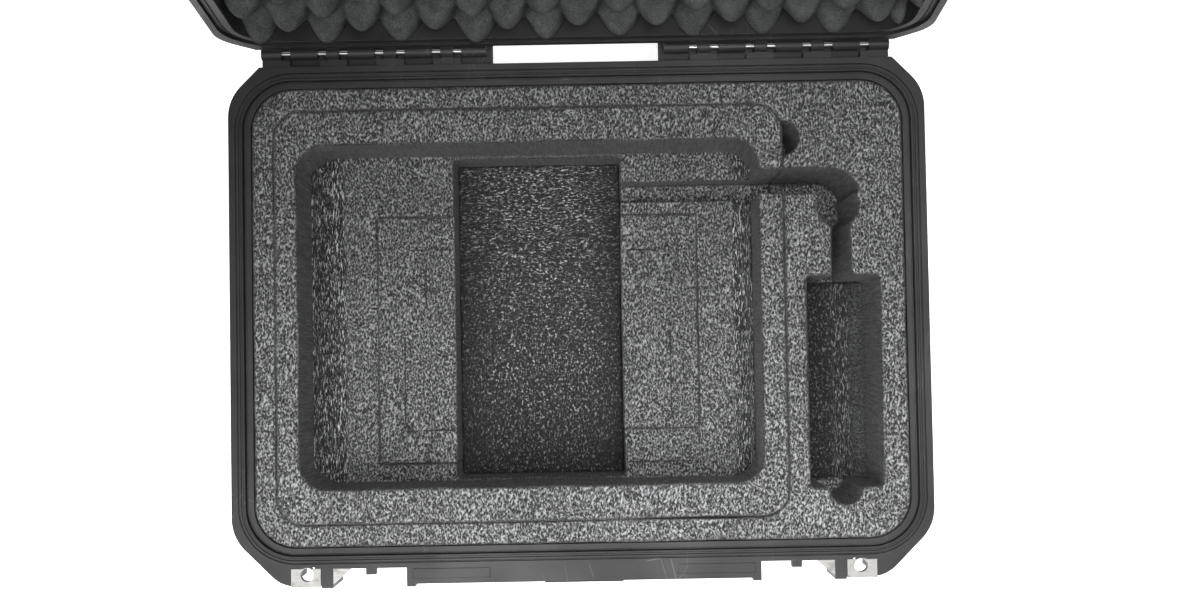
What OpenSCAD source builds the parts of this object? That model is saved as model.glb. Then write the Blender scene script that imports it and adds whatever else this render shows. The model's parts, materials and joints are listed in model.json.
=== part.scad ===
// Waterproof carrying case for a quadcopter drone: moulded base and lid, cut foam,
// two hinges on steel pins, two trigger latches, a folding handle and a pressure valve.
// Frame: +X to the right, +Y towards the hinge, +Z up, origin under the centre of the base.
// The lid is drawn open, resting on its hinge stops.

/* [Case] */
// Width of the foam-lined opening, left to right
bay_w = 470; // [466:1:474]
// Depth of the foam-lined opening, front to back
bay_d = 330; // [328:1:334]
// Depth of the base from its parting face to its floor
base_depth = 127; // [120:1:140]
// Depth of the lid from its parting face to its inner face
lid_depth = 51; // [45:1:60]
// Thickness of the moulded walls
wall = 4; // [3.5:0.5:4]
// Radius of the opening's corners
corner_r = 30; // [28:1:32]
// Angle of the open lid, from closed
lid_open = 97.6; // [80:0.1:110]

/* [Hinges] */
// Distance from the opening's back edge to the hinge axis
hinge_out = 25; // [25:0.5:27]
// Outer radius of a hinge knuckle
barrel_r = 4.25; // [4:0.05:4.4]
// Radius of the steel hinge pin
hinge_pin_r = 1.6; // [1.2:0.1:1.8]
// Distance between neighbouring lid knuckles
knuckle_pitch = 41.1; // [41:0.1:41.4]
// Width of a lid knuckle
lid_knuckle_w = 19.4; // [17:0.1:20]
// Width of a base knuckle
base_knuckle_w = 9.2; // [8:0.1:10]

/* [Latches] */
// Distance from the centre to the middle of each latch
latch_x = 152.5; // [151.5:0.5:153]
// Width of a latch
latch_w = 37; // [34:0.5:37]
// Angle at which a released latch stands away from the case
latch_rest = 35; // [0:1:60]
// Radius of the latch pivot pin
latch_pin_r = 2; // [1.5:0.1:2.2]
// Width of the release trigger
trigger_w = 18; // [16:0.5:20]
// Radius of the trigger pin
trigger_pin_r = 1.2; // [1:0.1:1.4]

/* [Handle] */
// Distance from the pivot down to the middle of the grip
handle_drop = 62; // [55:1:70]
// Radius of the rubber grip
grip_r = 10; // [8:0.5:10]
// Length of the rubber grip
grip_len = 130; // [100:1:150]
// Radius of the handle's pivot pins
handle_pin_r = 2.5; // [2:0.1:3]

/* [Padlock eyes] */
// Distance from the centre to each padlock hole
padlock_x = 197.5; // [196:0.5:199]
// Radius of a padlock hole
padlock_r = 4.7; // [4:0.1:4.9]

/* [Foam] */
// Height of the foam's face below the parting face
foam_drop = 2.5; // [2:0.5:4]
// Thickness of the lift-out tray
tray_h = 75.2; // [70:0.1:80]
// Width of the lift-out tray
tray_w = 367; // [360:1:368]
// Depth of the lift-out tray, front to back
tray_d = 297.4; // [290:0.2:298]
// Gap around a piece of foam that lifts out
cut_gap = 0.5; // [0.3:0.1:0.8]
// Height of the floor of the cable run and pocket above the case's floor
pocket_floor = 27; // [20:1:32]

/* [Hidden] */

$fn = 48;
plastic = "#26272a";
foam_grey = "#55565a";
steel = "#c9ccd0";
rubber = "#18191b";

half_w = bay_w / 2;
half_d = bay_d / 2;
foot_h = 4;
floor_z = foot_h + wall;
part_z = floor_z + base_depth;
lid_gap = 0.4;
flange_t = 6;
rib_t = 4;

// Outer outline of the flange
side_x = half_w + 16;
back_y = half_d + 15.8;
front_y = -half_d - 14.8;
ear_y = -half_d - 27;
ear_x = padlock_x - 10.5;
corner_sum = side_x + half_d - 8.7;
back_corner_sum = side_x + half_d - 7;
ear_arc_r = 25;
side_arc_r = 32;
eye_wall = 0.6;
corner_fit = 0.02;

// Top of the base's rim, as (distance outside the opening, height above the parting face):
// a ledge, the tongue that the gasket closes on, and a drip ridge
rim_top = [
    [0, -2.4], [0.4, -2], [4.2, -2], [4.2, -4], [5.4, -4], [5.4, 1.4], [5.8, 1.9],
    [6.8, 1.9], [7.2, 1.4], [7.2, 0.5], [8.4, 0.5], [8.4, 1], [8.8, 1.4], [10, 1.4],
    [10.4, 1], [10.4, -0.6], [11, -0.6], [11.4, 0]
];

// Underside of the lid's rim: a wide recess over the ridges, with the gasket's groove in it
groove_bottom = [
    [0, 0.9], [0.4, 0.6], [4.5, 0.6], [4.5, 2.7], [4.9, 2.7], [4.9, 5.7], [7.7, 5.7],
    [7.7, 2.7], [10.9, 2.7], [10.9, lid_gap]
];

// Hinges
hinge_y = half_d + hinge_out;
hinge_end_x = 226;
hinge_start_x = 64;
first_lid_knuckle = 195.2;
first_base_knuckle = 174.7;
end_knuckle_w = 14.4;
last_knuckle_w = 18;
hinge_shelf_z = -9;
bore_play = 0.06;

// Latches, in the closed case
latch_pin_y = ear_y + 6;
latch_pin_z = 14;
trigger_pin_y = ear_y + 2.5;
trigger_pin_z = -1;
latch_cheek_t = 2.6;
keeper_z = -26;
keeper_y = front_y - 2.6;

// Handle
handle_y = front_y - 1.7;
handle_z = -18;
hood_x = 126.5;
hood_y = -half_d - 26.5;
cheek_t = 6;
arm_t = 9;
arm_x = hood_x - cheek_t - 1 - arm_t;

// Pressure valve, in the front wall below the handle's hood
valve_z = -34;
valve_r = 11;
valve_stem_r = 6;

// Foam
foam_top = part_z - foam_drop;
tray_x0 = -219;
tray_y0 = -tray_d / 2;
tray_z0 = foam_top - tray_h;
cavity_x0 = -203;
cavity_x1 = 131;
cavity_y = 124.2;
cavity_r = 20;
channel_x0 = -96;
channel_x1 = 32;
run_y0 = 83.6;
run_y1 = 101.6;
cable_hole = [187.5, 74];
cable_hole_r = 15;
pocket_x0 = 163.5;
pocket_x1 = 216.5;
pocket_y0 = -128.5;
pocket_y1 = 23.5;
fit_gap = 0.2;

function arc_points(centre, r, a0, a1, n = 8) =
    [for (i = [0:n]) let(a = a0 + (a1 - a0) * i / n)
        [centre[0] + r * cos(a), centre[1] + r * sin(a)]];

function mirrored(points) =
    [for (i = [len(points) - 1:-1:0]) [-points[i][0], points[i][1]]];

// Right half of the flange's outline, drawn in by g all round
function half_outline(g = 0) =
    let(
        s = sqrt(2),
        x = side_x - g - (side_arc_r - g),
        ear_c = -(-ear_y - g) + (ear_arc_r - g),
        ear_cx = (corner_sum - g * s) - (ear_arc_r - g) * s + ear_c,
        front_cy = x - (corner_sum - g * s) + (side_arc_r - g) * s,
        back_cy = (back_corner_sum - g * s) - (side_arc_r - g) * s - x
    )
    concat(
        [[ear_x + g, front_y + g], [ear_x + g, ear_y + g]],
        arc_points([ear_cx, ear_c], ear_arc_r - g, -90, -45),
        arc_points([x, front_cy], side_arc_r - g, -45, 0),
        arc_points([x, back_cy], side_arc_r - g, 0, 45),
        [[back_corner_sum - g * s - (back_y - g), back_y - g]]
    );

module case_outline(g = 0) {
    polygon(concat(half_outline(g), mirrored(half_outline(g))));
}

// Rectangle with round corners, w by d
module round_plan(w, d, r) {
    square([w - 2 * r, d], center = true);
    square([w, d - 2 * r], center = true);
    for (sx = [-1, 1])
        for (sy = [-1, 1])
            translate([sx * (w / 2 - r), sy * (d / 2 - r)])
                circle(r);
}

// The opening's plan, grown outwards by u
module bay_plan(u = 0) {
    round_plan(bay_w + 2 * u, bay_d + 2 * u, corner_r + u);
}

// Carries a profile of (distance outside the opening, height) around the opening
module around_bay() {
    for (turn = [0, 180])
        rotate(turn)
            translate([0, half_d, 0])
                rotate([90, 0, 90])
                    linear_extrude(bay_w - 2 * corner_r, center = true)
                        children();
    for (turn = [90, 270])
        rotate(turn)
            translate([0, half_w, 0])
                rotate([90, 0, 90])
                    linear_extrude(bay_d - 2 * corner_r, center = true)
                        children();
    for (q = [0:3]) {
        sx = (q == 0 || q == 3) ? 1 : -1;
        sy = (q < 2) ? 1 : -1;
        translate([sx * (half_w - corner_r), sy * (half_d - corner_r), 0])
            rotate(90 * q)
                rotate_extrude(angle = 90)
                    translate([corner_r, 0])
                        children();
    }
}

module rod_x(r, x0, x1, y, z) {
    translate([x0, y, z])
        rotate([0, 90, 0])
            cylinder(r = r, h = x1 - x0);
}

module block(x0, x1, y0, y1, z0, z1) {
    translate([x0, y0, z0])
        cube([x1 - x0, y1 - y0, z1 - z0]);
}

// Extrudes a (y, z) profile from x0 to x1
module along_x(x0, x1) {
    translate([x0, 0, 0])
        rotate([90, 0, 90])
            linear_extrude(x1 - x0)
                children();
}

module both_sides() {
    children();
    mirror([1, 0, 0])
        children();
}

// Places lid parts, drawn closed with z = 0 on the parting face, on the open lid
module on_lid() {
    translate([0, hinge_y, part_z])
        rotate([-lid_open, 0, 0])
            translate([0, -hinge_y, 0])
                children();
}

// Places latch parts, drawn latched, on the released latch of the open lid
module on_latch(side) {
    on_lid()
        translate([side * latch_x, latch_pin_y, latch_pin_z])
            rotate([-latch_rest, 0, 0])
                translate([0, -latch_pin_y, -latch_pin_z])
                    children();
}

module at_parting() {
    translate([0, 0, part_z])
        children();
}

// Slots in the ears, open to the front, that the steel eyes fill
module eye_slots() {
    r = padlock_r + eye_wall + 0.1;
    for (side = [-1, 1])
        translate([side * padlock_x - r, ear_y - 12, -20])
            cube([2 * r, 20 + r, 40]);
}

module base_rim_profile() {
    polygon(concat(rim_top, [[12.5, 0], [12.5, -flange_t], [6, -9], [0, -9]]));
}

module lid_rim_profile() {
    polygon(concat(groove_bottom, [
        [12.5, lid_gap], [12.5, flange_t + lid_gap], [8.5, flange_t + 2], [6, 12], [0, 12]
    ]));
}

module base_knuckles() {
    both_sides() {
        block(hinge_start_x - 4, hinge_end_x - 2, half_d + wall - 1, hinge_y + 8,
            hinge_shelf_z - 3, hinge_shelf_z);
        rod_x(barrel_r, hinge_end_x - end_knuckle_w, hinge_end_x, hinge_y, 0);
        block(hinge_end_x - end_knuckle_w, hinge_end_x - 0.2, back_y - 1, hinge_y,
            -flange_t, -0.2);
        for (i = [0:2]) {
            x = first_base_knuckle - i * knuckle_pitch;
            rod_x(barrel_r, x - base_knuckle_w / 2, x + base_knuckle_w / 2, hinge_y, 0);
            block(x - base_knuckle_w / 2, x + base_knuckle_w / 2, back_y - 1, hinge_y,
                -flange_t, -0.2);
        }
        difference() {
            block(hinge_start_x, hinge_end_x - 1, back_y - 1, back_y + 4.6, -flange_t, -0.3);
            for (i = [0:2]) {
                x = first_lid_knuckle - i * knuckle_pitch;
                block(x - 10.4, x + 10.4, back_y + 0.4, back_y + 6, -10, 5);
            }
            block(hinge_start_x - 1, hinge_start_x + last_knuckle_w + 0.6, back_y + 0.4,
                back_y + 6, -10, 5);
        }
    }
}

module lid_knuckle(x0, x1) {
    rod_x(barrel_r, x0, x1, hinge_y, 0);
    along_x(x0, x1)
        polygon([
            [back_y - 1, 0.5], [back_y - 1, flange_t + 0.4], [back_y + 4, flange_t + 0.4],
            [hinge_y + 1, barrel_r - 0.2], [hinge_y + 1, 0.5]
        ]);
}

// Everything on the base's front: ribs, guides, keepers, the handle's hood
module base_front() {
    both_sides() {
        block(ear_x - 8, ear_x + 0.2, ear_y - 1.5, -half_d - 2, -46, 0);
        block(latch_x - 4, latch_x + 3, front_y - 4.6, front_y + 1, -9, 0);
        block(hood_x + 2, ear_x - 7, keeper_y, -half_d - 2, keeper_z, keeper_z + 5);
        block(hood_x - cheek_t, hood_x, hood_y - 1.9, -half_d - 2, -30, 0);
        block(hood_x - 59.5, hood_x - 4.5, front_y - 7.7, front_y - 1, -1, 0.6);
    }
    block(-hood_x, hood_x, hood_y, front_y + 1, -5, 0);
    block(-28, 28, hood_y - 0.8, front_y, -4.4, -0.6);
}

// Steel corner plate between the flange's edge and the rib beside the latch
module corner_plate(side) {
    color(steel)
        at_parting()
            mirror([side < 0 ? 1 : 0, 0, 0])
                translate([0, 0, -flange_t])
                    linear_extrude(flange_t - 0.6)
                        polygon([
                            [ear_x - 21, front_y - corner_fit],
                            [ear_x - 8 - corner_fit, ear_y + 0.8],
                            [ear_x - 8 - corner_fit, front_y - corner_fit]
                        ]);
}

// Thick corners between heights z0 and z1, just inside the flange's outline
module corner_bumpers(z0, z1) {
    translate([0, 0, z0])
        linear_extrude(z1 - z0)
            intersection() {
                difference() {
                    case_outline(5);
                    bay_plan(wall - 1);
                }
                for (sx = [-1, 1])
                    for (sy = [-1, 1])
                        translate([sx * 242, sy * 170])
                            square([76, 84], center = true);
            }
}

// Stiffening ribs and corner bumpers below the flange
module base_outside() {
    for (y = [-120:40:120])
        both_sides()
            block(half_w + wall - 1, half_w + 11, y - rib_t / 2, y + rib_t / 2, 24, part_z - 5);
    for (x = [-200:50:200])
        block(x - rib_t / 2, x + rib_t / 2, half_d + wall - 1, half_d + 11, 24, part_z - 5);
    for (level = [[0, 30], [part_z - 36, part_z - 5]])
        corner_bumpers(level[0], level[1]);
    translate([0, 0, part_z - 20])
        linear_extrude(15)
            intersection() {
                difference() {
                    case_outline(1.2);
                    case_outline(4);
                }
                translate([0, 40])
                    square([2 * side_x + 10, 360], center = true);
            }
}

module base_feet() {
    linear_extrude(foot_h + 1) {
        difference() {
            bay_plan(wall);
            bay_plan(-18);
        }
        for (y = [-70, 70])
            translate([0, y])
                square([bay_w, 12], center = true);
        square([80, bay_d], center = true);
    }
}

module base_shell() {
    color(plastic)
        difference() {
            union() {
                translate([0, 0, foot_h])
                    linear_extrude(base_depth - 4)
                        bay_plan(wall);
                base_feet();
                at_parting() {
                    difference() {
                        union() {
                            translate([0, 0, -flange_t])
                                linear_extrude(flange_t)
                                    difference() {
                                        case_outline();
                                        bay_plan(12);
                                    }
                            base_knuckles();
                            base_front();
                        }
                        around_bay()
                            polygon(concat(rim_top, [[11.4, 9], [0, 9]]));
                    }
                    around_bay()
                        base_rim_profile();
                }
                base_outside();
            }
            translate([0, 0, floor_z])
                linear_extrude(base_depth)
                    bay_plan();
            at_parting() {
                eye_slots();
                both_sides()
                    block(ear_x + 0.6, ear_x + 22.2, ear_y - 2, front_y + 0.6, -1.3, 2);
                for (side = [-1, 1])
                    rod_x(hinge_pin_r + bore_play, side > 0 ? 60 : -230,
                        side > 0 ? 230 : -60, hinge_y, 0);
                rod_x(handle_pin_r + bore_play, -140, 140, handle_y, handle_z);
                translate([0, -half_d + 1, valve_z])
                    rotate([90, 0, 0])
                        cylinder(r = valve_stem_r + 0.3, h = 12);
            }
        }
}

// Brackets that hold the latches, ribs, bumpers and rails outside the lid
module lid_outside() {
    both_sides() {
        for (side = [-1, 1]) {
            inner = latch_x + side * (latch_w / 2 + 0.5);
            outer = inner + side * latch_cheek_t;
            along_x(min(inner, outer), max(inner, outer))
                polygon([
                    [-half_d - 2, 3], [front_y, 3], [latch_pin_y - 4, latch_pin_z - 5],
                    [latch_pin_y - 4, latch_pin_z + 4], [latch_pin_y, latch_pin_z + 6],
                    [-half_d - 2, latch_pin_z + 14]
                ]);
        }
        block(ear_x - 7.5, ear_x + 0.2, ear_y - 1.5, -half_d - 2, lid_gap, 24);
    }
    for (y = [-120:40:120])
        both_sides()
            block(half_w + wall - 1, half_w + 11, y - rib_t / 2, y + rib_t / 2, 5, lid_depth);
    for (x = [-200:50:200])
        block(x - rib_t / 2, x + rib_t / 2, half_d + wall - 1, half_d + 11, 5, lid_depth);
    for (level = [[5, 17], [lid_depth - 14, lid_depth + wall]])
        corner_bumpers(level[0], level[1]);
    translate([0, 0, lid_depth + wall - 1])
        linear_extrude(foot_h + 1) {
            for (y = [-105, 0, 105])
                translate([0, y])
                    round_plan(430, 26, 12);
        }
}

module lid_shell() {
    color(plastic)
        on_lid()
            difference() {
                union() {
                    translate([0, 0, 5])
                        linear_extrude(lid_depth + wall - 5)
                            bay_plan(wall);
                    translate([0, 0, lid_gap])
                        linear_extrude(flange_t)
                            difference() {
                                case_outline();
                                bay_plan(12);
                            }
                    both_sides() {
                        for (i = [0:2]) {
                            x = first_lid_knuckle - i * knuckle_pitch;
                            lid_knuckle(x - lid_knuckle_w / 2, x + lid_knuckle_w / 2);
                        }
                        lid_knuckle(hinge_start_x, hinge_start_x + last_knuckle_w);
                    }
                    difference() {
                        lid_outside();
                        around_bay()
                            polygon(concat(groove_bottom, [[11, -9], [0, -9]]));
                    }
                    around_bay()
                        lid_rim_profile();
                }
                translate([0, 0, -1])
                    linear_extrude(lid_depth + 1)
                        bay_plan();
                eye_slots();
                both_sides()
                    block(ear_x + 0.6, ear_x + 22.2, ear_y - 2, front_y + 0.6, -1, lid_gap + 1.3);
                for (side = [-1, 1]) {
                    rod_x(hinge_pin_r + bore_play, side > 0 ? 60 : -230,
                        side > 0 ? 230 : -60, hinge_y, 0);
                    rod_x(latch_pin_r + bore_play, side * latch_x - 30,
                        side * latch_x + 30, latch_pin_y, latch_pin_z);
                }
            }
}

module lid_gasket() {
    color(rubber)
        on_lid()
            around_bay()
                polygon([[5.05, 5.55], [5.05, 3.4], [5.6, 2.75], [7, 2.75], [7.55, 3.4], [7.55, 5.55]]);
}

module hinge_pin(side) {
    color(steel)
        at_parting()
            rod_x(hinge_pin_r, side > 0 ? hinge_start_x + 2 : 2 - hinge_end_x,
                side > 0 ? hinge_end_x - 2 : -hinge_start_x - 2, hinge_y, 0);
}

// Steel eye: a plate let into the ear, face at z = 0, and a sleeve that lines its hole
module padlock_eye(side) {
    difference() {
        union() {
            translate([side * (ear_x + 11.4) - 10.6, ear_y - 0.6, -1.2])
                cube([21.2, 13, 1.2]);
            translate([side * padlock_x, ear_y + 8, -flange_t])
                cylinder(r = padlock_r + eye_wall, h = flange_t);
        }
        translate([side * padlock_x, ear_y + 8, -flange_t - 5])
            cylinder(r = padlock_r, h = flange_t + 10);
    }
}

module padlock_plate(side) {
    color(steel)
        at_parting()
            padlock_eye(side);
}

module lid_padlock_plate(side) {
    color(steel)
        on_lid()
            translate([0, 0, lid_gap])
                mirror([0, 0, 1])
                    padlock_eye(side);
}

module latch_profile() {
    polygon([
        [latch_pin_y + 1, latch_pin_z + 5], [latch_pin_y - 3.6, latch_pin_z + 4.2],
        [latch_pin_y - 6.4, latch_pin_z], [latch_pin_y - 7, 4], [latch_pin_y - 6.8, -18],
        [latch_pin_y - 5.6, -30], [latch_pin_y - 7.4, -40], [latch_pin_y - 4.4, -40.4],
        [latch_pin_y - 2, -35], [latch_pin_y + 7.5, -34.5], [latch_pin_y + 8, -29],
        [latch_pin_y + 1.2, -28.2], [latch_pin_y + 0.5, -26], [latch_pin_y + 0.5, 6],
        [latch_pin_y + 4.4, latch_pin_z - 2.4]
    ]);
}

module latch_body(side) {
    color(plastic)
        on_latch(side)
            difference() {
                union() {
                    along_x(-latch_w / 2, latch_w / 2)
                        latch_profile();
                    rod_x(5, -latch_w / 2, latch_w / 2, latch_pin_y, latch_pin_z);
                }
                rod_x(latch_pin_r + bore_play, -30, 30, latch_pin_y, latch_pin_z);
                block(-trigger_w / 2 - 0.5, trigger_w / 2 + 0.5, ear_y - 20, ear_y + 20, -23, 4);
                rod_x(trigger_pin_r + bore_play, -trigger_w / 2 - 5, trigger_w / 2 + 5,
                    trigger_pin_y, trigger_pin_z);
            }
}

module latch_pin(side) {
    color(steel)
        on_lid()
            rod_x(latch_pin_r, side * latch_x - latch_w / 2 - latch_cheek_t - 0.5,
                side * latch_x + latch_w / 2 + latch_cheek_t + 0.5, latch_pin_y, latch_pin_z);
}

module trigger(side) {
    color(plastic)
        on_latch(side)
            difference() {
                union() {
                    along_x(-trigger_w / 2, trigger_w / 2)
                        polygon([
                            [trigger_pin_y - 3.4, 2.4], [trigger_pin_y - 3.6, -12],
                            [trigger_pin_y - 3, -21.5], [trigger_pin_y + 0.4, -21.8],
                            [trigger_pin_y + 0.4, -5], [trigger_pin_y + 2.4, -3],
                            [trigger_pin_y + 2.4, 1], [trigger_pin_y + 1, 2.4]
                        ]);
                }
                rod_x(trigger_pin_r + bore_play, -20, 20, trigger_pin_y, trigger_pin_z);
                block(-4.5, 4.5, trigger_pin_y - 1.6, trigger_pin_y + 5, -5.2, 4);
            }
}

module trigger_pin(side) {
    color(steel)
        on_latch(side)
            rod_x(trigger_pin_r, -trigger_w / 2 - 4.6, trigger_w / 2 + 4.6, trigger_pin_y,
                trigger_pin_z);
}

// Torsion spring round the trigger's pin
module trigger_spring(side) {
    color(steel)
        on_latch(side)
            difference() {
                rod_x(trigger_pin_r + 1, -4, 4, trigger_pin_y + 0.75, trigger_pin_z);
                rod_x(trigger_pin_r + 0.3, -5, 5, trigger_pin_y, trigger_pin_z);
            }
}

module handle_core() {
    color(plastic)
        at_parting()
            difference() {
                union() {
                    both_sides() {
                        rod_x(5.5, arm_x, arm_x + arm_t, handle_y, handle_z);
                        block(arm_x, arm_x + arm_t, handle_y - 5, handle_y + 5,
                            handle_z - handle_drop, handle_z);
                    }
                    rod_x(6, -arm_x - arm_t, arm_x + arm_t, handle_y, handle_z - handle_drop);
                }
                rod_x(handle_pin_r + bore_play, -140, 140, handle_y, handle_z);
            }
}

module handle_grip() {
    color(rubber)
        at_parting()
            difference() {
                rod_x(grip_r, -grip_len / 2, grip_len / 2, handle_y, handle_z - handle_drop);
                rod_x(6.05, -grip_len, grip_len, handle_y, handle_z - handle_drop);
            }
}

module handle_pins() {
    color(steel)
        at_parting()
            both_sides()
                rod_x(handle_pin_r, arm_x + 1, hood_x, handle_y, handle_z);
}

// Puts valve parts, drawn with +Z out of the case, in the front wall
module on_valve() {
    at_parting()
        translate([0, -half_d - wall, valve_z])
            rotate([90, 0, 0])
                children();
}

module valve_body() {
    color(plastic)
        on_valve()
            difference() {
                union() {
                    translate([0, 0, 1])
                        cylinder(r = valve_r - 3, h = 1.2);
                    translate([0, 0, -wall - 3.4])
                        cylinder(r = valve_stem_r, h = wall + 4.6);
                }
                translate([0, 0, -wall - 5])
                    cylinder(r = valve_stem_r - 2.5, h = 20);
            }
}

module valve_nut() {
    color(plastic)
        on_valve()
            translate([0, 0, -wall - 3.2])
                difference() {
                    cylinder(r = 9, h = 3, $fn = 6);
                    translate([0, 0, -1])
                        cylinder(r = valve_stem_r + 0.05, h = 6, $fn = 48);
                }
}

module valve_seal() {
    color(rubber)
        on_valve()
            difference() {
                cylinder(r = valve_stem_r + 1.8, h = 0.95);
                translate([0, 0, -1])
                    cylinder(r = valve_stem_r + 0.1, h = 4);
            }
}

module valve_membrane() {
    color("white")
        on_valve()
            translate([0, 0, -1])
                cylinder(r = valve_stem_r - 2.55, h = 0.6);
}

// Plan of the cable run, its round hole and the slot into the pocket
module cable_plan(x0) {
    translate([x0, run_y0])
        square([cable_hole[0] - x0 - 4, run_y1 - run_y0]);
    translate(cable_hole)
        circle(cable_hole_r);
    intersection() {
        translate([cable_hole[0] - 6, cable_hole[1] + 4])
            circle(run_y1 - cable_hole[1] - 4);
        translate([cable_hole[0] - 6, run_y0])
            square([30, 30]);
    }
    translate([cable_hole[0] - 5.5, pocket_y1 - 1])
        square([14, cable_hole[1] - pocket_y1]);
}

module pocket_plan() {
    translate([pocket_x0, pocket_y0])
        square([pocket_x1 - pocket_x0, pocket_y1 - pocket_y0]);
    translate([189, pocket_y0])
        circle(12);
}

module tray_plan(g = 0) {
    translate([tray_x0 + tray_w / 2, 0])
        round_plan(tray_w + 2 * g, tray_d + 2 * g, 20 + g);
}

module cavity_plan() {
    translate([(cavity_x0 + cavity_x1) / 2, 0])
        round_plan(cavity_x1 - cavity_x0, 2 * cavity_y, cavity_r);
}

module foam_surround() {
    color(foam_grey)
        difference() {
            translate([0, 0, floor_z])
                linear_extrude(foam_top - floor_z)
                    bay_plan(-fit_gap);
            translate([0, 0, floor_z - 1])
                linear_extrude(base_depth)
                    tray_plan(cut_gap);
            translate([0, 0, floor_z + pocket_floor])
                linear_extrude(base_depth) {
                    cable_plan(tray_x0 + tray_w - 20);
                    pocket_plan();
                }
            translate([tray_x0 + tray_w, 124, tray_z0])
                cylinder(r = 12.5, h = base_depth);
            translate([-12, -half_d - 1, part_z + valve_z - 12])
                cube([24, 6, 24]);
        }
}

module foam_tray() {
    color(foam_grey)
        translate([0, 0, tray_z0])
            difference() {
                linear_extrude(tray_h)
                    tray_plan();
                translate([0, 0, -1])
                    linear_extrude(tray_h + 2)
                        cavity_plan();
                translate([cavity_x1 - 10, run_y0, -1])
                    cube([60, run_y1 - run_y0, tray_h + 2]);
            }
}

module insert_plan(side, g = 0) {
    if (side < 0)
        translate([-154.6 - g, -110 - g])
            square([154.6 + channel_x0 + 3 * g, 187.4 + 2 * g]);
    else
        translate([channel_x1 - 2 * g, -86 - g])
            square([57 + 3 * g, 162.4 + 2 * g]);
}

module foam_lower_block() {
    color(foam_grey)
        difference() {
            translate([0, 0, floor_z])
                linear_extrude(tray_z0 - fit_gap - floor_z)
                    tray_plan();
            translate([channel_x0, -122, floor_z - 1])
                cube([channel_x1 - channel_x0, 243.5, base_depth]);
            translate([channel_x1 - 1, run_y0 + 3, floor_z + pocket_floor])
                cube([200, run_y1 - run_y0 - 3, base_depth]);
            for (side = [-1, 1])
                translate([0, 0, floor_z + 8])
                    linear_extrude(base_depth)
                        insert_plan(side, cut_gap);
        }
}

module shelf_insert(side) {
    color(foam_grey)
        translate([0, 0, floor_z + 8 + fit_gap])
            linear_extrude(tray_z0 - 2 * fit_gap - floor_z - 8)
                insert_plan(side);
}

module foam_floor_pad() {
    color(foam_grey)
        translate([channel_x0 + fit_gap, -122 + fit_gap, floor_z])
            cube([channel_x1 - channel_x0 - 2 * fit_gap, 243.1, 7]);
}

module foam_pocket_pad() {
    color(foam_grey)
        translate([pocket_x0 + fit_gap, pocket_y0 + fit_gap, floor_z + pocket_floor])
            cube([pocket_x1 - pocket_x0 - 2 * fit_gap, pocket_y1 - pocket_y0 - 2 * fit_gap, 5]);
}

module lid_foam() {
    color(foam_grey)
        on_lid()
            translate([0, 0, 3])
                linear_extrude(lid_depth - 3)
                    bay_plan(-fit_gap);
}

base_shell();
lid_shell();
lid_gasket();
hinge_pin(-1);  // hinge_pin_left
hinge_pin(1);  // hinge_pin_right
padlock_plate(-1);  // padlock_plate_left
padlock_plate(1);  // padlock_plate_right
lid_padlock_plate(-1);  // lid_padlock_plate_left
lid_padlock_plate(1);  // lid_padlock_plate_right
corner_plate(-1);  // corner_plate_left
corner_plate(1);  // corner_plate_right
latch_body(-1);  // latch_body_left
latch_body(1);  // latch_body_right
latch_pin(-1);  // latch_pin_left
latch_pin(1);  // latch_pin_right
trigger(-1);  // trigger_left
trigger(1);  // trigger_right
trigger_pin(-1);  // trigger_pin_left
trigger_pin(1);  // trigger_pin_right
trigger_spring(-1);  // trigger_spring_left
trigger_spring(1);  // trigger_spring_right
handle_core();
handle_grip();
handle_pins();
valve_body();
valve_nut();
valve_seal();
valve_membrane();
foam_surround();
foam_tray();
foam_lower_block();
shelf_insert(-1);  // shelf_insert_left
shelf_insert(1);  // shelf_insert_right
foam_floor_pad();
foam_pocket_pad();
lid_foam();
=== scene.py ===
"""Looks of the drone case: moulded shell, steel, rubber, latches, and the cut and convoluted foam."""

import json
import math

import bmesh
import bpy
import numpy as np
from mathutils import Matrix, Vector


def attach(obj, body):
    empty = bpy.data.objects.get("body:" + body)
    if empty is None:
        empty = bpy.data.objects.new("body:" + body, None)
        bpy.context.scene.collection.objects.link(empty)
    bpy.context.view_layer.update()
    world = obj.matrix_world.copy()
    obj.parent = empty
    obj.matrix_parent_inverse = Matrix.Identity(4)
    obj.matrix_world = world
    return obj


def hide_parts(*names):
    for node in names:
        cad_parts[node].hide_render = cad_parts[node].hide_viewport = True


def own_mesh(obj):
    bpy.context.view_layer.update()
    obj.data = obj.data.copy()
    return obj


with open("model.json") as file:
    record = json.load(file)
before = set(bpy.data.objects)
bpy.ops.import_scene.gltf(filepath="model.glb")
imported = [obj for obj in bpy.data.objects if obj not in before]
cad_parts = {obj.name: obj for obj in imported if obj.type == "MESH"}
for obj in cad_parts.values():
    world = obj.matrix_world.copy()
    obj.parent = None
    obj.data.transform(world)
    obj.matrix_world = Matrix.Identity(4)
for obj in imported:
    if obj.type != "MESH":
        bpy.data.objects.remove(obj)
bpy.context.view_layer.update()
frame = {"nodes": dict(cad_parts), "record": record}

scene = bpy.context.scene

MM = 0.001
PART_Z = 0.135
FOAM_TOP = 0.1325
SHELF_Z = 0.0573
HINGE_Y = 0.190
LID_OPEN = math.radians(97.6)
FLOOR = 40


# ---------------------------------------------------------------- camera

camera = bpy.data.objects.new("camera", bpy.data.cameras.new("camera"))
scene.collection.objects.link(camera)
camera.data.sensor_width = 36
camera.data.lens = 48.61
camera.data.clip_start = 0.05
turn = Matrix.Rotation(-0.0178, 4, "Z") @ Matrix.Rotation(-0.0009, 4, "Y") @ Matrix.Rotation(0.0379, 4, "X")
camera.matrix_world = Matrix.Translation((0.01278, -0.03935, 1.2965)) @ turn
scene.camera = camera


# ---------------------------------------------------------------- node trees


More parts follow.
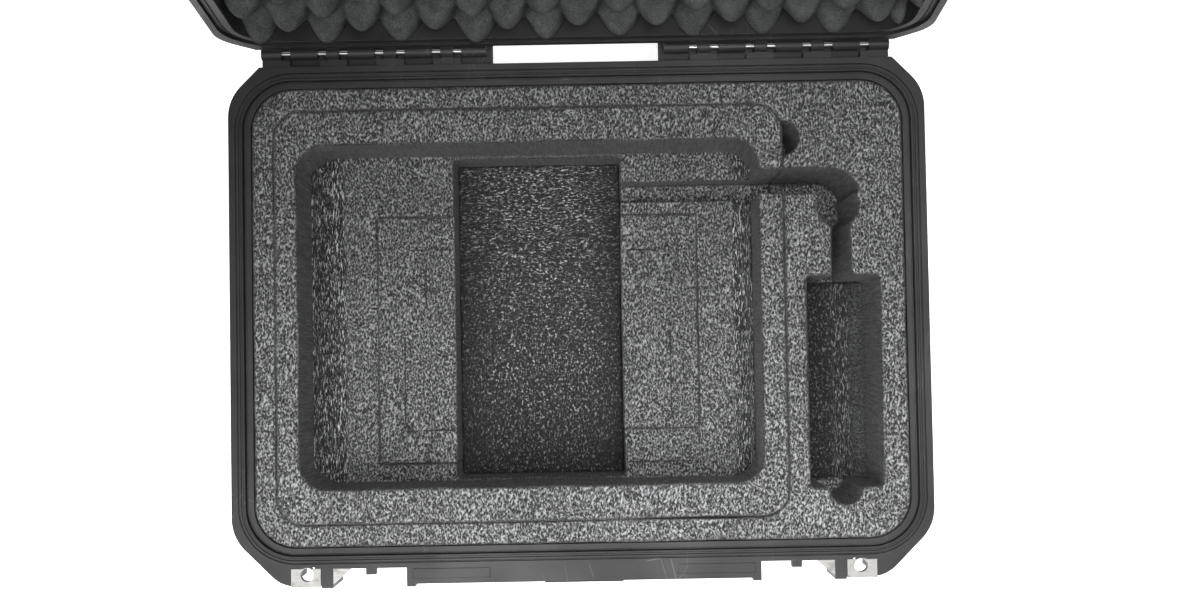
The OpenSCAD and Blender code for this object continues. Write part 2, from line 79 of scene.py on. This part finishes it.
class Tree:
    """A material with short calls for its nodes. Coordinates are in millimetres."""

    def __init__(self, name):
        self.material = bpy.data.materials.new(name)
        self.material.use_nodes = True
        self.tree = self.material.node_tree
        self.tree.nodes.clear()
        out = self.tree.nodes.new("ShaderNodeOutputMaterial")
        self.shader = self.tree.nodes.new("ShaderNodeBsdfPrincipled")
        self.tree.links.new(self.shader.outputs[0], out.inputs[0])
        coordinates = self.tree.nodes.new("ShaderNodeTexCoord")
        self.mm = self.vector("SCALE", coordinates.outputs["Object"], scale=1000)

    def put(self, socket, value):
        if hasattr(value, "links"):
            self.tree.links.new(value, socket)
        elif value is not None:
            socket.default_value = value

    def set(self, **values):
        for name, value in values.items():
            self.put(self.shader.inputs[name.replace("_", " ")], value)

    def vector(self, operation, a, b=None, scale=None):
        n = self.tree.nodes.new("ShaderNodeVectorMath")
        n.operation = operation
        self.put(n.inputs[0], a)
        if b is not None:
            self.put(n.inputs[1], b)
        if scale is not None:
            self.put(n.inputs["Scale"], scale)
        return n.outputs["Value" if operation in ("LENGTH", "DISTANCE") else "Vector"]

    def math(self, operation, a, b=0.0, c=0.0, clamp=False):
        n = self.tree.nodes.new("ShaderNodeMath")
        n.operation = operation
        n.use_clamp = clamp
        for socket, value in zip(n.inputs, (a, b, c)):
            self.put(socket, value)
        return n.outputs[0]

    def noise(self, scale, detail=2.0, rough=0.5, vector=None, distortion=0.0):
        n = self.tree.nodes.new("ShaderNodeTexNoise")
        self.put(n.inputs["Vector"], vector or self.mm)
        n.inputs["Scale"].default_value = scale
        n.inputs["Detail"].default_value = detail
        n.inputs["Roughness"].default_value = rough
        n.inputs["Distortion"].default_value = distortion
        return n.outputs["Fac"]

    def voronoi(self, scale, feature="F1", vector=None, random=1.0):
        n = self.tree.nodes.new("ShaderNodeTexVoronoi")
        n.feature = feature
        self.put(n.inputs["Vector"], vector or self.mm)
        n.inputs["Scale"].default_value = scale
        n.inputs["Randomness"].default_value = random
        return n.outputs["Distance"]

    def ramp(self, factor, *stops):
        n = self.tree.nodes.new("ShaderNodeValToRGB")
        marks = n.color_ramp.elements
        while len(marks) < len(stops):
            marks.new(0.5)
        for mark, (place, colour) in zip(marks, stops):
            mark.position = place
            mark.color = (*colour, 1) if isinstance(colour, tuple) else (colour, colour, colour, 1)
        self.put(n.inputs[0], factor)
        return n.outputs[0]

    def span(self, value, low, high, to_low=0.0, to_high=1.0, smooth=True):
        n = self.tree.nodes.new("ShaderNodeMapRange")
        n.interpolation_type = "SMOOTHSTEP" if smooth else "LINEAR"
        for socket, v in zip(n.inputs, (value, low, high, to_low, to_high)):
            self.put(socket, v)
        return n.outputs[0]

    def mix(self, factor, a, b, blend="MIX"):
        n = self.tree.nodes.new("ShaderNodeMix")
        n.data_type = "RGBA"
        n.blend_type = blend
        self.put(n.inputs[0], factor)
        for socket, value in ((n.inputs[6], a), (n.inputs[7], b)):
            self.put(socket, (*value, 1) if isinstance(value, tuple) and len(value) == 3 else value)
        return n.outputs[2]

    def stretched(self, x, y, z):
        return self.vector("MULTIPLY", self.mm, (x, y, z))

    def bump(self, height, strength, distance, normal=None):
        n = self.tree.nodes.new("ShaderNodeBump")
        n.inputs["Strength"].default_value = strength
        n.inputs["Distance"].default_value = distance * MM
        self.put(n.inputs["Height"], height)
        if normal is not None:
            self.put(n.inputs["Normal"], normal)
        return n.outputs[0]

    def rounded(self, radius):
        n = self.tree.nodes.new("ShaderNodeBevel")
        n.samples = 4
        n.inputs["Radius"].default_value = radius * MM
        return n.outputs[0]

    def attribute(self, name):
        n = self.tree.nodes.new("ShaderNodeAttribute")
        n.attribute_name = name
        return n.outputs["Fac"]

    def axes(self):
        n = self.tree.nodes.new("ShaderNodeSeparateXYZ")
        self.put(n.inputs[0], self.mm)
        return n.outputs


def moulded(name, base, rough, edge=0.45, specular=0.25):
    """Injection-moulded polypropylene: fine grain, flow mottling, dust, and handling scratches."""
    t = Tree(name)
    grain = t.voronoi(2.4)
    fine = t.noise(3.2, 3, 0.6)
    mottle = t.noise(0.035, 3, 0.55)
    cloud = t.noise(0.012, 2, 0.5)
    dust = t.span(t.noise(0.9, 5, 0.75), 0.62, 0.78)
    scratch = t.math(
        "MULTIPLY",
        t.span(t.voronoi(0.05, "DISTANCE_TO_EDGE", t.stretched(1.0, 0.35, 1.0)), 0.0, 0.012, 1, 0),
        t.span(mottle, 0.55, 0.68),
    )
    tone = t.ramp(mottle, (0.3, tuple(c * 0.8 for c in base)), (0.7, tuple(c * 1.3 for c in base)))
    tone = t.mix(t.math("MULTIPLY", dust, 0.35), tone, (0.085, 0.083, 0.08))
    tone = t.mix(t.math("MULTIPLY", scratch, 0.4), tone, (0.11, 0.11, 0.112))
    clouded = t.span(cloud, 0.35, 0.65, rough - 0.05, rough + 0.06)
    roughness = t.math("ADD", clouded, t.math("MULTIPLY", fine, 0.08))
    height = t.math("ADD", t.math("MULTIPLY", grain, 0.6), t.math("MULTIPLY", fine, 0.5))
    normal = t.bump(height, 0.35, 0.07, t.rounded(edge))
    polished = t.math("SUBTRACT", roughness, t.math("MULTIPLY", scratch, 0.1))
    t.set(Base_Color=tone, Roughness=polished, Normal=normal)
    t.shader.inputs["IOR"].default_value = 1.49
    t.shader.inputs["Specular IOR Level"].default_value = specular
    return t.material


def rubber(name, base, rough):
    t = Tree(name)
    fine = t.noise(1.6, 4, 0.6)
    bloom = t.span(t.noise(0.06, 4, 0.6), 0.4, 0.7)
    tone = t.mix(t.math("MULTIPLY", bloom, 0.35), base, (0.06, 0.06, 0.058))
    t.set(
        Base_Color=tone,
        Roughness=t.span(fine, 0.3, 0.7, rough - 0.06, rough + 0.08),
        Normal=t.bump(fine, 0.4, 0.08, t.rounded(0.3)),
    )
    t.shader.inputs["Specular IOR Level"].default_value = 0.35
    return t.material


def brushed(name, base, rough, along, grime=0.3):
    """Stainless steel with a brushed grain. along are the coordinate scales, small along the grain."""
    t = Tree(name)
    lines = t.noise(1.0, 4, 0.65, t.stretched(*along))
    stain = t.span(t.noise(0.22, 4, 0.6), 0.5, 0.75)
    nick = t.span(t.noise(0.7, 4, 0.7), 0.66, 0.74)
    tone = t.mix(t.span(lines, 0.3, 0.7, 0, 0.35), base, tuple(c * 0.72 for c in base))
    tone = t.mix(t.math("MULTIPLY", stain, grime), tone, tuple(c * 0.5 for c in base))
    tone = t.mix(t.math("MULTIPLY", nick, 0.4), tone, (0.2, 0.2, 0.2))
    t.set(
        Base_Color=tone,
        Roughness=t.math(
            "ADD", t.span(lines, 0.25, 0.75, rough - 0.06, rough + 0.1), t.math("MULTIPLY", stain, 0.12)
        ),
        Normal=t.bump(lines, 0.25, 0.02, t.rounded(0.15)),
    )
    t.shader.inputs["Metallic"].default_value = 1.0
    return t.material


def cut_lines(t, lines, width, wobble=0.5):
    """1 on thin straight cuts, each (x0, y0, x1, y1) in millimetres, that wander and fade a little."""
    x, y, _ = t.axes()
    shift = t.span(t.noise(0.16, 2, 0.5), 0.2, 0.8, -wobble, wobble, False)
    x = t.math("ADD", x, shift)
    y = t.math("ADD", y, shift)
    total = None
    for x0, y0, x1, y1 in lines:
        length = math.hypot(x1 - x0, y1 - y0)
        dx, dy = (x1 - x0) / length, (y1 - y0) / length
        u = t.math("ADD", t.math("MULTIPLY", x, dx), t.math("MULTIPLY_ADD", y, dy, -(x0 * dx + y0 * dy)))
        v = t.math("ADD", t.math("MULTIPLY", x, -dy), t.math("MULTIPLY_ADD", y, dx, x0 * dy - y0 * dx))
        near = t.span(t.math("ABSOLUTE", v), width * 0.35, width, 1, 0)
        ends = t.math("LESS_THAN", t.math("ABSOLUTE", t.math("SUBTRACT", u, length / 2)), length / 2)
        one = t.math("MULTIPLY", near, ends)
        total = one if total is None else t.math("MAXIMUM", total, one)
    return t.math("MULTIPLY", total, t.span(t.noise(0.07, 3, 0.6), 0.36, 0.5, 0.35, 1.0))


SKIN = ((0.4, 0.005), (0.47, 0.04), (0.53, 0.13), (0.61, 0.3))
STREAKS = ((0.42, 0.002), (0.5, 0.009), (0.56, 0.11), (0.63, 0.55))
DEEP_SKIN = ((0.42, 0.002), (0.5, 0.012), (0.56, 0.13), (0.62, 0.7))


def foam_material(name, lines=(), skin_tone_and_shade=1.0, wall_tone=1.0, stops=SKIN, bed=None,
                  streak_tone_and_shade=1.0):
    """Closed-cell foam. The skin attribute blends the coarse skin of its faces with the fine cells of a
    cut, and streak draws the skin out along Y where it is bent up a wall. bed is the middle and half
    width in X and the front and back in Y of a deep floor, whose skin is drawn out along X, with painted
    light in its middle, painted shade towards its sides and a painted shadow towards its front. stops are
    the skin's tones, and a painted light gradient makes the foam lighter at the front than at the hinge."""
    t = Tree(name)
    skin = t.attribute("skin")
    streak = t.attribute("streak")
    warp = t.noise(0.03, 2, 0.5)
    # Coarse pebbled skin: pits between flattened cells
    swirl = t.vector("ADD", t.stretched(1.0, 0.62, 0.8), t.vector("SCALE", (9.0, 5.0, 2.0), scale=warp))
    coarse = t.noise(0.74, 4, 0.7, swirl, 0.4)
    cells = t.voronoi(0.88, "SMOOTH_F1", swirl)
    pebble = t.math("ADD", t.math("MULTIPLY", coarse, 0.72), t.math("MULTIPLY", cells, 0.3))
    # Skin stretched where it curves
    drawn = t.noise(1.15, 4, 0.66, t.stretched(1.0, 0.2, 0.5), 0.7)
    # Fine open cells of a knife cut, with faint drag marks
    fine = t.noise(1.15, 4, 0.7)
    drag = t.noise(0.6, 2, 0.5, t.stretched(1.0, 1.0, 0.06))
    patches = t.noise(0.016, 3, 0.55)
    if bed:
        across = t.noise(0.86, 4, 0.68, t.vector("MULTIPLY", swirl, (0.4, 1.4, 1.0)), 0.3)
        far = t.span(t.axes()[1], bed[2], bed[3], 0.0, 0.85)
        near = t.math("SUBTRACT", 1.0, far)
        pebble = t.math("ADD", t.math("MULTIPLY", pebble, near), t.math("MULTIPLY", across, far))
    pits = t.ramp(pebble, *((place, tone * skin_tone_and_shade) for place, tone in stops))
    streaks = t.ramp(drawn, *((place, tone * streak_tone_and_shade) for place, tone in STREAKS))
    cut = t.ramp(t.math("ADD", t.math("MULTIPLY", fine, 0.75), t.math("MULTIPLY", drag, 0.25)),
                 (0.42, 0.004 * wall_tone), (0.5, 0.055 * wall_tone), (0.57, 0.26 * wall_tone))
    colour = t.mix(skin, cut, t.mix(streak, pits, streaks))
    _, y, _ = t.axes()
    # patchy is random tone; shade multiplies it by a painted light gradient along Y, 1.15 at the front and
    # 0.8 towards the hinge
    patchy = t.span(patches, 0.3, 0.7, 0.86, 1.12, False)
    shade = t.math("MULTIPLY", patchy, t.span(y, -150, 160, 1.15, 0.8, False))
    if bed:
        # Painted light in the deep floor's middle (1.25), painted shade towards its sides (0.4) and a
        # painted shadow of the front wall towards its front (0.28)
        off = t.math("ABSOLUTE", t.math("SUBTRACT", t.axes()[0], bed[0]))
        sides = t.span(off, bed[1] * 0.35, bed[1], 1.25, 0.4)
        front = t.span(y, bed[2], bed[2] + 0.45 * (bed[3] - bed[2]), 0.28, 1.0)
        shade = t.math("MULTIPLY", shade, t.math("MULTIPLY", sides, front))
    colour = t.vector("SCALE", colour, scale=shade)
    colour = t.vector("MULTIPLY", colour, (0.985, 1.0, 1.015))
    height = t.math("ADD", t.math("MULTIPLY", t.math("MULTIPLY", pebble, skin), 1.0),
                    t.math("MULTIPLY", fine, 0.22))
    height = t.math("ADD", height, t.math("MULTIPLY", t.math("MULTIPLY", drawn, streak), 0.8))
    if lines:
        knife = t.math("MULTIPLY", cut_lines(t, lines, 0.75), skin)
        colour = t.mix(t.math("MULTIPLY", knife, 0.85), colour, (0.006, 0.006, 0.006))
        height = t.math("SUBTRACT", height, t.math("MULTIPLY", knife, 0.8))
    t.set(
        Base_Color=colour,
        Roughness=t.span(pebble, 0.35, 0.65, 0.72, 0.5),
        Normal=t.bump(height, 0.85, 1.1),
    )
    t.shader.inputs["Specular IOR Level"].default_value = 0.32
    t.shader.inputs["Sheen Weight"].default_value = 0.06
    t.shader.inputs["Sheen Roughness"].default_value = 0.5
    return t.material


def convoluted_material(name):
    t = Tree(name)
    fine = t.noise(1.9, 4, 0.72)
    medium = t.noise(0.12, 3, 0.6)
    tone = t.ramp(t.math("ADD", t.math("MULTIPLY", fine, 0.8), t.math("MULTIPLY", medium, 0.2)),
                  (0.36, 0.018), (0.5, 0.052), (0.64, 0.12))
    tone = t.vector("MULTIPLY", tone, (0.97, 1.0, 1.0))
    t.set(Base_Color=tone, Roughness=t.span(fine, 0.3, 0.7, 0.98, 0.85), Normal=t.bump(fine, 0.8, 0.5))
    t.shader.inputs["Specular IOR Level"].default_value = 0.08
    return t.material


def membrane_material(name):
    t = Tree(name)
    fibre = t.noise(2.5, 5, 0.7)
    t.set(Base_Color=t.ramp(fibre, (0.3, (0.5, 0.5, 0.48)), (0.7, (0.75, 0.75, 0.73))),
          Roughness=t.span(fibre, 0.3, 0.7, 0.8, 0.95), Normal=t.bump(fibre, 0.4, 0.05))
    return t.material


shell_finish = moulded("case_plastic", (0.015, 0.015, 0.0155), 0.44)
latch_finish = moulded("latch_plastic", (0.015, 0.015, 0.016), 0.4)
gasket_finish = rubber("gasket_rubber", (0.016, 0.016, 0.016), 0.62)
grip_finish = rubber("grip_rubber", (0.02, 0.02, 0.02), 0.7)
steel_finish = brushed("steel", (0.3, 0.3, 0.305), 0.36, (0.1, 3, 3))
plate_finish = brushed("plate_steel", (0.3, 0.295, 0.285), 0.6, (0.12, 4, 4), 0.3)
membrane_finish = membrane_material("membrane")

FINISH = {
    "case_plastic": shell_finish, "latch_plastic": latch_finish, "gasket_rubber": gasket_finish,
    "grip_rubber": grip_finish, "steel": steel_finish, "plate_steel": plate_finish,
    "membrane": membrane_finish,
}


# ---------------------------------------------------------------- mesh helpers


def link(name, mesh):
    made = bpy.data.objects.new(name, mesh)
    scene.collection.objects.link(made)
    return made


def finish(made, material, body, *nodes, slot=None):
    made.data.materials.clear()
    made.data.materials.append(material)
    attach(made, body)
    if nodes:
        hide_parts(*nodes)
    return made


def applied(made):
    """Puts the result of the object's modifiers into its mesh."""
    bpy.context.view_layer.update()
    seen = made.evaluated_get(bpy.context.evaluated_depsgraph_get())
    mesh = bpy.data.meshes.new_from_object(seen)
    made.modifiers.clear()
    made.data = mesh
    return made


def prism(b, outline, axis, low, high):
    """Adds a closed prism to b: outline is in the two axes other than axis, in order."""
    def place(p, at):
        return (at, *p) if axis == 0 else (p[0], at, p[1]) if axis == 1 else (*p, at)

    ends = [[b.verts.new(place(p, at)) for p in outline] for at in (low, high)]
    faces = [b.faces.new(ends[0]), b.faces.new(ends[1][::-1])]
    for i in range(len(outline)):
        j = (i + 1) % len(outline)
        faces.append(b.faces.new((ends[0][i], ends[1][i], ends[1][j], ends[0][j])))
    bmesh.ops.recalc_face_normals(b, faces=faces)


def waves(co, length, seed, count=7):
    """Smooth noise of about -1 to 1 at points co, with features about length across."""
    g = np.random.default_rng(seed)
    total = np.zeros(len(co))
    for _ in range(count):
        d = g.normal(size=3)
        d /= np.linalg.norm(d)
        total += np.sin(co @ d * (2 * np.pi / (length * g.uniform(0.7, 1.5))) + g.uniform(0, 6.28))
    return total / math.sqrt(count)


def points(mesh):
    co = np.zeros(len(mesh.vertices) * 3)
    mesh.vertices.foreach_get("co", co)
    return co.reshape(-1, 3)


def normals(mesh):
    n = np.zeros(len(mesh.vertices) * 3)
    mesh.vertices.foreach_get("normal", n)
    return n.reshape(-1, 3)


def write(mesh, name, values):
    layer = mesh.attributes.new(name, "FLOAT", "POINT")
    layer.data.foreach_set("value", np.clip(values, 0, 1).astype(np.float32))


def step(x, low, high):
    s = np.clip((x - low) / (high - low), 0, 1)
    return s * s * (3 - 2 * s)


# ---------------------------------------------------------------- foam


def foam(name, node, body, material, shape=None, add=None, voxel=2.0, streaked=None,
         swell=0.0, bare=None):
    """A foam piece: the CAD solid, with anything that add puts on it, remeshed so its cuts have soft
    edges, then sagged and waved by shape(co, normal), and marked where it has its skin. swell fills out
    its walls, and bare(co) is true where a face has no skin."""
    mesh = frame["nodes"][node].data.copy()
    b = bmesh.new()
    b.from_mesh(mesh)
    bmesh.ops.remove_doubles(b, verts=b.verts, dist=0.000004)
    if add:
        add(b)
    b.to_mesh(mesh)
    b.free()
    made = link(name, mesh)
    voxels = made.modifiers.new("voxels", "REMESH")
    voxels.mode = "VOXEL"
    voxels.voxel_size = voxel * MM
    voxels.use_smooth_shade = True
    applied(made)
    mesh = made.data
    co, n = points(mesh), normals(mesh)
    flat = step(n[:, 2], 0.55, 0.9)
    streak = streaked(co, n) if streaked else np.zeros(len(co))
    skin = np.maximum(flat, streak)
    if bare:
        skin = np.where(bare(co), 0.0, skin)
    write(mesh, "skin", skin)
    write(mesh, "streak", streak)
    ripple = 0.00018 * waves(co, 0.045, 11) + swell
    sag = 0.0006 * waves(co * (1, 1, 0), 0.16, 5) - 0.0004
    move = n * ripple[:, None] * (1 - flat)[:, None]
    move[:, 2] += sag * flat
    if shape:
        move += shape(co, n)
    mesh.vertices.foreach_set("co", (co + move).ravel())
    mesh.update()
    finish(made, material, body, node)
    return made


SHELF_CUTS = [
    (-134, 77, -97, 77), (-130, 52.6, -97, 52.6), (-155, 77, -155, -110), (-135, -15, -135, -80),
    (-135, -80, -130, -85.5), (-130, -85.5, -97, -85.5), (-153, -110, -97, -110), (-118, 50, -118, 8),
    (43, 76, 85, 76), (35, 50, 69, 50), (89, 37, 89, -100), (68, -12, 68, -80), (68, -80, 63, -86),
    (63, -86, 33, -86), (33, -112, 84, -112),
]
TOP_CUTS = [(-231, 52.5, -220, 52.5), (-231, -50.3, -220, -50.3)]
TRAY_CUTS = [(148, 84, 148, 10), (149, 108, 142.4, 94.5)]

surround_finish = foam_material("surround_foam", TOP_CUTS + TRAY_CUTS, 1.05, 0.55)
tray_finish = foam_material("tray_foam", TRAY_CUTS, 1.05, 0.55)
shelf_finish = foam_material("shelf_foam", SHELF_CUTS, 0.95, 0.5)
# The channel floor's and the pocket's low skin tones (0.62, 0.17) and the pocket's low streak tone (0.4) are
# painted shade of their depth
floor_finish = foam_material("floor_foam", (), 0.62, 0.5, DEEP_SKIN, (-32, 64, -122, 121))
pocket_finish = foam_material("pocket_foam", (), 0.17, 0.5, DEEP_SKIN, streak_tone_and_shade=0.4)


def surround_shape(co, n):
    """The face dips a little towards the tray."""
    move = np.zeros_like(co)
    top = step(co[:, 2], FOAM_TOP - 0.004, FOAM_TOP - 0.001)
    move[:, 2] -= top * 0.0007 * step(np.abs(co[:, 0]), 0.19, 0.232)
    return move


def tray_shape(co, n):
    move = np.zeros_like(co)
    outer = step(-co[:, 1], 0.1405, 0.1475) * step(co[:, 0], 0.0, 0.06)
    move[:, 1] += outer * 0.0011
    return move


def fillets(b):
    """Skin curved up the left and right walls of the bay."""
    def curl(x_wall, x_flat, height, side):
        z = SHELF_Z - 0.0012
        profile = [(x_wall, z), (x_wall, SHELF_Z + height)]
        profile.append((x_wall + side * 0.0016, SHELF_Z + height))
        for i in range(1, 13):
            a = math.radians(90 * i / 12)
            x = x_wall + side * 0.0016 + (x_flat - x_wall - side * 0.0016) * (1 - math.cos(a))
            profile.append((x, SHELF_Z + height * (1 - math.sin(a))))
        profile.append((x_flat, z))
        return profile

    def along(profile, spans):
        for y0, y1 in spans:
            prism(b, profile, 1, y0, y1)

    along(curl(-0.2022, -0.178, 0.019, 1), [(-0.1165, 0.1165)])
    along(curl(0.1302, 0.116, 0.015, -1), [(-0.1165, 0.0825), (0.103, 0.1165)])


def curled(co, n):
    left = step(-co[:, 0], 0.176, 0.1815)
    right = step(co[:, 0], 0.1135, 0.1185)
    high = step(co[:, 2], SHELF_Z - 0.003, SHELF_Z - 0.001)
    up = step(n[:, 2], -0.2, 0.15)
    inside = (np.abs(co[:, 0] + 0.036) < 0.1668) & (np.abs(co[:, 1]) < 0.124)
    return np.maximum(left, right) * high * up * inside


def beside_channel(co):
    """The ledge between the channel's ends and the walls of the bay, which is a cut."""
    return (np.abs(co[:, 1]) > 0.1195) & (co[:, 0] > -0.098) & (co[:, 0] < 0.034)


def pocket_fillet(b):
    """Skin curved up the pocket's right wall."""
    top = max(v.co.z for v in b.verts)
    ys = [v.co.y for v in b.verts]
    x_wall, x_flat, height = 0.2181, 0.194, 0.024
    profile = [(x_wall, top - 0.002), (x_wall, top + height), (x_wall - 0.0016, top + height)]
    for i in range(1, 15):
        a = math.radians(90 * i / 14)
        x = x_wall - 0.0016 - (x_wall - 0.0016 - x_flat) * (1 - math.cos(a))
        profile.append((x, top + height * (1 - math.sin(a))))
    profile.append((x_flat, top - 0.002))
    prism(b, profile, 1, min(ys) + 0.0015, max(ys) - 0.0015)


def pocket_curled(co, n):
    """Drawn-out skin on the lower part of the pocket's fillet, dark with painted shade; its upper part stays
    fine.
    """
    return step(co[:, 0], 0.191, 0.196) * step(-co[:, 0], -0.209, -0.204) * step(n[:, 2], -0.2, 0.2)


foam("foam_surround_cut", "foam_surround", "base", surround_finish, surround_shape, voxel=1.8,
     swell=0.00015)
foam("foam_tray_cut", "foam_tray", "foam_tray", tray_finish, tray_shape, voxel=1.6, swell=0.0005)
foam("foam_shelf_block", "foam_lower_block", "base", shelf_finish, None, fillets, 1.6, curled,
     bare=beside_channel)
foam("shelf_plug_left", "shelf_insert_left", "shelf_insert_left", shelf_finish, voxel=1.0, swell=0.00045)
foam("shelf_plug_right", "shelf_insert_right", "shelf_insert_right", shelf_finish, voxel=1.0, swell=0.00045)
foam("channel_floor", "foam_floor_pad", "base", floor_finish, voxel=1.6)
foam("pocket_floor", "foam_pocket_pad", "base", pocket_finish, None, pocket_fillet, 1.3,
     pocket_curled)


def lid_place():
    """From the lid's own frame, closed with z = 0 on its parting face, to the open lid."""
    return (
        Matrix.Translation((0, HINGE_Y, PART_Z))
        @ Matrix.Rotation(-LID_OPEN, 4, "X")
        @ Matrix.Translation((0, -HINGE_Y, 0))
    )


def convoluted_lid_foam():
    """Egg-crate foam: rows of peaks every 25.4 mm, each row shifted by half of the 50.8 mm pitch."""
    half_w, half_d, corner = 0.2346, 0.1646, 0.0298
    spacing = 0.0022
    nx, ny = int(2 * half_w / spacing), int(2 * half_d / spacing)
    back = 0.0508
    b = bmesh.new()
    xs = np.linspace(-half_w, half_w, nx + 1)
    ys = np.linspace(-half_d, half_d, ny + 1)
    gx, gy = np.meshgrid(xs, ys, indexing="ij")
    # Round the corners by drawing the outer points in
    over_x = np.maximum(np.abs(gx) - (half_w - corner), 0)
    over_y = np.maximum(np.abs(gy) - (half_d - corner), 0)
    longest = np.maximum(over_x, over_y)
    both = np.hypot(over_x, over_y)
    pull = np.where((over_x > 0) & (over_y > 0), longest / np.maximum(both, 1e-9), 1.0)
    px = np.sign(gx) * (np.minimum(np.abs(gx), half_w - corner) + over_x * pull)
    py = np.sign(gy) * (np.minimum(np.abs(gy), half_d - corner) + over_y * pull)
    flat = np.stack([px.ravel(), py.ravel(), np.zeros(px.size)], 1)
    drift = 0.0022 * waves(flat, 0.11, 3)
    u = (px.ravel() + 0.0187 + drift) / 0.0508
    v = (py.ravel() - 0.1604 + 0.0018 * waves(flat, 0.13, 4)) / 0.0508
    f = np.cos(2 * np.pi * u) * np.cos(2 * np.pi * v)
    # Rounded peaks, wide round valleys
    lift = np.sign(f) * np.abs(f) ** 0.82
    z = 0.0118 - 0.0132 * lift - 0.0011 * waves(flat, 0.09, 8) + 0.0007 * waves(flat, 0.03, 9)
    z -= 0.0022 * step(np.abs(px.ravel()), 0.19, 0.234)
    top = [b.verts.new((px.ravel()[i], py.ravel()[i], z[i])) for i in range(px.size)]

    def at(i, j):
        return top[i * (ny + 1) + j]

    for i in range(nx):
        for j in range(ny):
            b.faces.new((at(i, j), at(i, j + 1), at(i + 1, j + 1), at(i + 1, j)))
    rim = (
        [at(i, 0) for i in range(nx)] + [at(nx, j) for j in range(ny)]
        + [at(i, ny) for i in range(nx, 0, -1)] + [at(0, j) for j in range(ny, 0, -1)]
    )
    rings = [rim]
    for k in range(1, 6):
        rings.append([b.verts.new((v.co.x, v.co.y, v.co.z + (back - v.co.z) * k / 5)) for v in rim])
    for above, below in zip(rings, rings[1:]):
        for i in range(len(rim)):
            j = (i + 1) % len(rim)
            b.faces.new((above[i], above[j], below[j], below[i]))
    b.faces.new(rings[-1])
    bmesh.ops.recalc_face_normals(b, faces=b.faces)
    mesh = bpy.data.meshes.new("lid_foam_convoluted")
    b.to_mesh(mesh)
    b.free()
    mesh.polygons.foreach_set("use_smooth", [True] * len(mesh.polygons))
    place = lid_place()
    mesh.transform(place)
    made = link("lid_foam_convoluted", mesh)
    finish(made, convoluted_material("lid_foam"), "lid", "lid_foam", slot="lid_foam")
    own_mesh(made)
    return made


convoluted_lid_foam()


# ---------------------------------------------------------------- rigid pieces

SLOT_OF = {s["node"]: s["material_slot"] for s in frame["record"]["subparts"]}
SOFT = {"foam_surround", "foam_tray", "foam_lower_block", "shelf_insert_left", "shelf_insert_right",
        "foam_floor_pad", "foam_pocket_pad", "lid_foam"}
for node, cad in frame["nodes"].items():
    if node in SOFT:
        continue
    material = FINISH[SLOT_OF[node]]
    if not cad.material_slots:
        cad.data.materials.append(material)
    for s in cad.material_slots:
        s.link = "OBJECT"
        s.material = material


# ---------------------------------------------------------------- floor and light

floor = Tree("floor")
floor.set(Base_Color=floor.ramp(floor.noise(0.01, 2), (0.3, (0.93, 0.93, 0.93)), (0.7, (0.96, 0.96, 0.96))),
          Roughness=0.9)
floor.shader.inputs["Emission Color"].default_value = (1, 1, 1, 1)
floor.shader.inputs["Emission Strength"].default_value = 0.8
mesh = bpy.data.meshes.new("floor")
mesh.from_pydata([(x * FLOOR, y * FLOOR, -0.0004) for x, y in ((-1, -1), (1, -1), (1, 1), (-1, 1))],
                 [], [(0, 1, 2, 3)])
mesh.materials.append(floor.material)
link("floor", mesh)

world = bpy.data.worlds.new("world")
scene.world = world
world.use_nodes = True
sky = world.node_tree.nodes["Background"]
sky.inputs["Color"].default_value = (1.0, 1.0, 1.0, 1)
sky.inputs["Strength"].default_value = 0.22


def softbox(name, place, target, size, power, spread=180):
    lamp = bpy.data.lights.new(name, "AREA")
    lamp.shape = "RECTANGLE"
    lamp.size, lamp.size_y = size
    lamp.energy = power
    lamp.spread = math.radians(spread)
    made = bpy.data.objects.new(name, lamp)
    scene.collection.objects.link(made)
    made.location = place
    made.rotation_mode = "QUATERNION"
    made.rotation_quaternion = (Vector(target) - Vector(place)).to_track_quat("-Z", "Y")
    made.visible_camera = False
    return made


softbox("key", (-0.1, -0.3, 1.25), (0.0, -0.38, 0.1), (1.15, 0.4), 6.6, 80)
softbox("front", (-0.75, -0.95, 1.2), (0.0, -0.05, 0.1), (0.8, 0.7), 6)
softbox("overhead", (0.1, -0.35, 2.2), (0.0, -0.1, 0.1), (1.4, 1.0), 5)

scene.view_settings.view_transform = "Standard"
scene.view_settings.look = "None"
